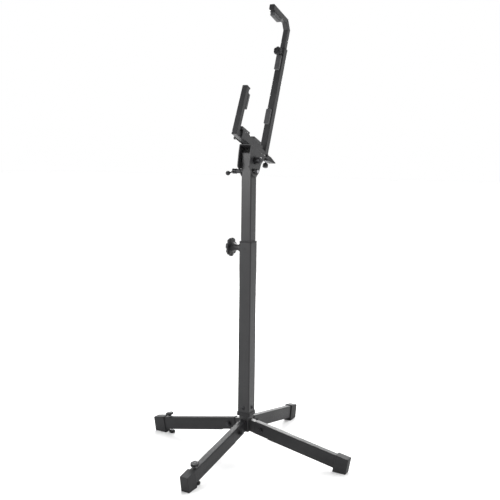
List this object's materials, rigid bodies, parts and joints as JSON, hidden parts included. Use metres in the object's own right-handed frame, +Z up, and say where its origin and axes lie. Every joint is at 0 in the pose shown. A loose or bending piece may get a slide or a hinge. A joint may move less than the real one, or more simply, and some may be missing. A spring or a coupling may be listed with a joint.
{
  "type": "instrument stand",
  "caption": "Free-standing instrument stand: fold-down legs with levelling screws, telescopic square mast, tilting head and padded cradle with a sliding short arm and a hooked long arm.",
  "frame": {"origin": "on the floor under the mast's axis", "axes": "+Z up the mast, +X along the right leg, -Y along the front leg; the cradle leans back towards +Y"},
  "size_m": [0.6838, 0.6838, 1.3753],
  "materials": {
    "black_paint": "satin black powder coat",
    "hub_paint": "satin black paint on a machined block",
    "black_plastic": "matt black moulding",
    "knob_plastic": "satin black moulding",
    "black_steel": "blackened steel",
    "bright_steel": "zinc-plated steel",
    "foam": "matt closed-cell foam",
    "foot_rubber": "matt black rubber"
  },
  "bodies": {
    "base": {"hub_core": "hub_paint", "base_ring": "black_plastic", "base_screws": "black_steel", "leg_pivot_bolts": "black_steel", "leg_pivot_nuts": "black_steel", "lower_mast_tube": "black_paint", "mast_glide_collar": "black_plastic", "mast_clamp_boss": "black_paint"},
    "leg_right": {"leg_tube_right": "black_paint", "leg_end_cap_right": "black_plastic"},
    "leg_back": {"leg_tube_back": "black_paint", "leg_end_cap_back": "black_plastic"},
    "leg_left": {"leg_tube_left": "black_paint", "leg_end_cap_left": "black_plastic"},
    "leg_front": {"leg_tube_front": "black_paint", "leg_end_cap_front": "black_plastic"},
    "foot_left": {"levelling_foot_left": "foot_rubber"},
    "screw_left": {"levelling_screw_left": "bright_steel", "levelling_knob_left": "knob_plastic"},
    "foot_front": {"levelling_foot_front": "foot_rubber"},
    "screw_front": {"levelling_screw_front": "bright_steel", "levelling_knob_front": "knob_plastic"},
    "mast_knob": {"mast_clamp_knob": "knob_plastic", "mast_clamp_stud": "bright_steel"},
    "mast_upper": {"upper_mast_tube": "black_paint", "mast_bottom_glide": "black_plastic", "mast_top_block": "black_plastic", "head_pivot_bolt": "black_steel", "head_pivot_nut": "black_steel", "tilt_clamp_nut": "black_steel"},
    "tilt_handle": {"tilt_clamp_stud": "bright_steel", "tilt_lever": "black_steel", "tilt_lever_ball": "knob_plastic"},
    "cradle": {"head_bracket": "black_paint", "rail_channel": "black_paint", "rail_glides": "black_plastic", "rail_end_plug": "black_plastic", "arm_foot_bolt": "black_steel", "rail_pad_front": "foam", "rail_pad_rear": "foam", "long_arm_tube": "black_paint", "arm_glide_collar": "black_plastic", "arm_clamp_boss": "black_paint", "arm_pad_lower": "foam", "arm_pad_upper": "foam"},
    "rail_knob": {"rail_clamp_knob": "knob_plastic", "rail_clamp_stud": "bright_steel"},
    "thumb_screw": {"slide_thumb_screw": "black_steel"},
    "short_arm": {"short_arm_slide_bar": "black_paint", "short_arm_upright": "black_paint", "short_arm_cap": "black_plastic", "short_arm_pad": "foam"},
    "upper_arm": {"upper_arm_tube": "black_paint", "upper_arm_elbow": "black_paint", "hook_bar": "black_paint", "hook_end_cap": "black_plastic", "hook_pad_plate": "black_paint", "hook_pad": "foam"},
    "arm_knob": {"arm_clamp_knob": "knob_plastic", "arm_clamp_stud": "bright_steel"}
  },
  "joints": [
    {"name": "leg_fold_right", "type": "hinge", "parent": "base", "child": "leg_right", "pos_m": [0.056, 0, 0.0752], "axis": [0, 1, 0], "range_deg": [0, 79]},
    {"name": "leg_fold_back", "type": "hinge", "parent": "base", "child": "leg_back", "pos_m": [0, 0.056, 0.0752], "axis": [-1, 0, 0], "range_deg": [0, 79]},
    {"name": "leg_fold_left", "type": "hinge", "parent": "base", "child": "leg_left", "pos_m": [-0.056, 0, 0.0752], "axis": [0, -1, 0], "range_deg": [0, 79]},
    {"name": "foot_lift_left", "type": "slide", "parent": "leg_left", "child": "foot_left", "axis": [-0.1857, 0, 0.9826], "range_m": [-0.00125, 0.0025]},
    {"name": "levelling_turn_left", "type": "hinge", "parent": "foot_left", "child": "screw_left", "pos_m": [-0.282, 0, 0.0325], "axis": [-0.1857, 0, 0.9826], "range_deg": [-361, 721]},
    {"name": "leg_fold_front", "type": "hinge", "parent": "base", "child": "leg_front", "pos_m": [0, -0.056, 0.0752], "axis": [1, 0, 0], "range_deg": [0, 79]},
    {"name": "foot_lift_front", "type": "slide", "parent": "leg_front", "child": "foot_front", "axis": [0, -0.1857, 0.9826], "range_m": [-0.00125, 0.0025]},
    {"name": "levelling_turn_front", "type": "hinge", "parent": "foot_front", "child": "screw_front", "pos_m": [0, -0.282, 0.0325], "axis": [0, -0.1857, 0.9826], "range_deg": [-361, 721]},
    {"name": "mast_height", "type": "slide", "parent": "base", "child": "mast_upper", "axis": [0, 0, 1], "range_m": [-0.155, 0.18]},
    {"name": "mast_knob_turn", "type": "hinge", "parent": "base", "child": "mast_knob", "pos_m": [-0.04, 0, 0.629], "axis": [-1, 0, 0], "range_deg": [0, 360]},
    {"name": "cradle_tilt", "type": "hinge", "parent": "mast_upper", "child": "cradle", "pos_m": [0, 0, 0.8935], "axis": [1, 0, 0], "range_deg": [-10, 30]},
    {"name": "tilt_lever_turn", "type": "hinge", "parent": "mast_upper", "child": "tilt_handle", "pos_m": [-0.049, 0, 0.8605], "axis": [-1, 0, 0], "range_deg": [0, 90]},
    {"name": "short_arm_slide", "type": "slide", "parent": "cradle", "child": "short_arm", "axis": [0, 0.9367, -0.3502], "range_m": [-0.034, 0.004]},
    {"name": "thumb_screw_turn", "type": "hinge", "parent": "cradle", "child": "thumb_screw", "pos_m": [0, -0.04196, 0.9583], "axis": [-1, 0, 0], "range_deg": [0, 360]},
    {"name": "upper_arm_slide", "type": "slide", "parent": "cradle", "child": "upper_arm", "axis": [0, 0.3502, 0.9367], "range_m": [-0.055, 0.15]},
    {"name": "arm_knob_turn", "type": "hinge", "parent": "cradle", "child": "arm_knob", "pos_m": [0, 0.19794, 1.23159], "axis": [0, -0.9367, 0.3502], "range_deg": [0, 360]},
    {"name": "rail_knob_turn", "type": "hinge", "parent": "cradle", "child": "rail_knob", "pos_m": [0, 0.1081, 0.88853], "axis": [0, -0.3502, -0.9367], "range_deg": [0, 360]}
  ],
  "couplings": [
    {"joint": "levelling_turn_left", "follows": "foot_lift_left", "rad_per_m": 5026.5},
    {"joint": "levelling_turn_front", "follows": "foot_lift_front", "rad_per_m": 5026.5}
  ]
}
